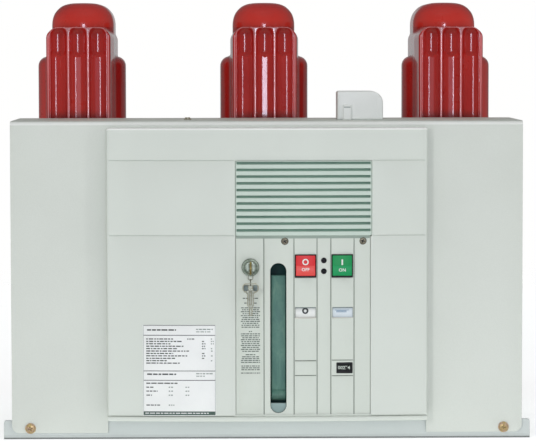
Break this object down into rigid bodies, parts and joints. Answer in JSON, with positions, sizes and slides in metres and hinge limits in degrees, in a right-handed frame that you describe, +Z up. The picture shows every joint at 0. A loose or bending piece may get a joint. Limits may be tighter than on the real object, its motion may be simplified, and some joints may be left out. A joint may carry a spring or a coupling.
{
  "type": "medium-voltage vacuum circuit breaker, fixed",
  "caption": "Fixed indoor vacuum circuit breaker: grey steel mechanism housing with a plastic front panel, push buttons and charging lever, and red resin poles standing behind it.",
  "frame": {"origin": "centre of the four base bolt holes, on the floor plane", "axes": "+X along the row of poles, to the right when facing the operating panel; -Y out of the operating panel; +Z up"},
  "size_m": [0.57, 0.4419, 0.475],
  "materials": {
    "galvanised": "zinc-coated sheet, dull",
    "painted_base": "light grey paint",
    "painted_steel": "light greenish grey powder coat",
    "dark_mechanism": "dark, dull",
    "red_resin": "glossy cast epoxy resin",
    "cover_plastic": "light grey moulded plastic, satin",
    "louvre_plastic": "light grey moulded plastic, satin",
    "zinc_screw": "zinc plated",
    "lever_steel": "grey-green painted steel",
    "slot_plastic": "pale grey plastic",
    "red_button": "satin plastic",
    "green_button": "satin plastic",
    "white_plastic": "white plastic",
    "black_plastic": "black plastic",
    "white_plate": "printed film with plain ruled lines",
    "strip_plate": "printed film with plain grey dashes",
    "chrome_lock": "polished nickel",
    "key_steel": "nickel plated",
    "key_brass": "brass, nickel worn",
    "yellow_zinc": "yellow chromated zinc",
    "connector_plastic": "pale grey plastic",
    "silver_terminal": "silver plated copper, satin"
  },
  "bodies": {
    "breaker": {"base_rail_left": "galvanised", "base_rail_right": "galvanised", "front_crossbar": "painted_base", "rear_crossbar": "galvanised", "front_panel": "painted_steel", "top_panel": "painted_steel", "side_panel_left": "painted_steel", "side_panel_right": "painted_steel", "mechanism_block": "dark_mechanism", "rear_panel": "galvanised", "rear_base": "galvanised", "pole_plate": "galvanised", "pole_left": "red_resin", "pole_centre": "red_resin", "pole_right": "red_resin", "plastic_cover": "cover_plastic", "louvre_grille": "louvre_plastic", "control_panel": "cover_plastic", "panel_screws": "zinc_screw", "lever_bracket": "dark_mechanism", "slot_stop": "slot_plastic", "position_indicator": "white_plastic", "spring_indicator": "white_plastic", "operation_counter": "black_plastic", "blank_plate": "white_plastic", "rating_plate": "white_plate", "instruction_strip": "strip_plate", "lock_body": "chrome_lock", "front_screws": "yellow_zinc", "top_plug": "zinc_screw", "connector_box": "connector_plastic", "earth_stud": "yellow_zinc", "upper_terminal_left": "silver_terminal", "lower_terminal_left": "silver_terminal", "upper_terminal_centre": "silver_terminal", "lower_terminal_centre": "silver_terminal", "upper_terminal_right": "silver_terminal", "lower_terminal_right": "silver_terminal"},
    "charging_lever": {"charging_lever": "lever_steel"},
    "off_button": {"off_button": "red_button"},
    "on_button": {"on_button": "green_button"},
    "lock_key": {"lock_plug": "chrome_lock", "lock_key": "key_steel"},
    "spare_key": {"key_ring": "key_steel", "spare_key": "key_brass"}
  },
  "joints": [
    {"name": "charging_lever_swing", "type": "hinge", "parent": "breaker", "child": "charging_lever", "pos_m": [0.0119, -0.1795, 0.05], "axis": [1, 0, 0], "range_deg": [0, 80]},
    {"name": "off_button_press", "type": "slide", "parent": "breaker", "child": "off_button", "axis": [0, 1, 0], "range_m": [0, 0.005], "stiffness_N_per_m": 600},
    {"name": "on_button_press", "type": "slide", "parent": "breaker", "child": "on_button", "axis": [0, 1, 0], "range_m": [0, 0.005], "stiffness_N_per_m": 600},
    {"name": "lock_key_turn", "type": "hinge", "parent": "breaker", "child": "lock_key", "pos_m": [-0.0181, -0.205, 0.188], "axis": [0, 1, 0], "range_deg": [0, 90]},
    {"name": "spare_key_hang", "type": "hinge", "parent": "lock_key", "child": "spare_key", "pos_m": [-0.0181, -0.20392, 0.1819], "axis": [0, 1, 0], "range_deg": [-90, 0]}
  ],
  "couplings": [
    {"joint": "lock_key_turn", "follows": "spare_key_hang", "ratio": -1}
  ]
}
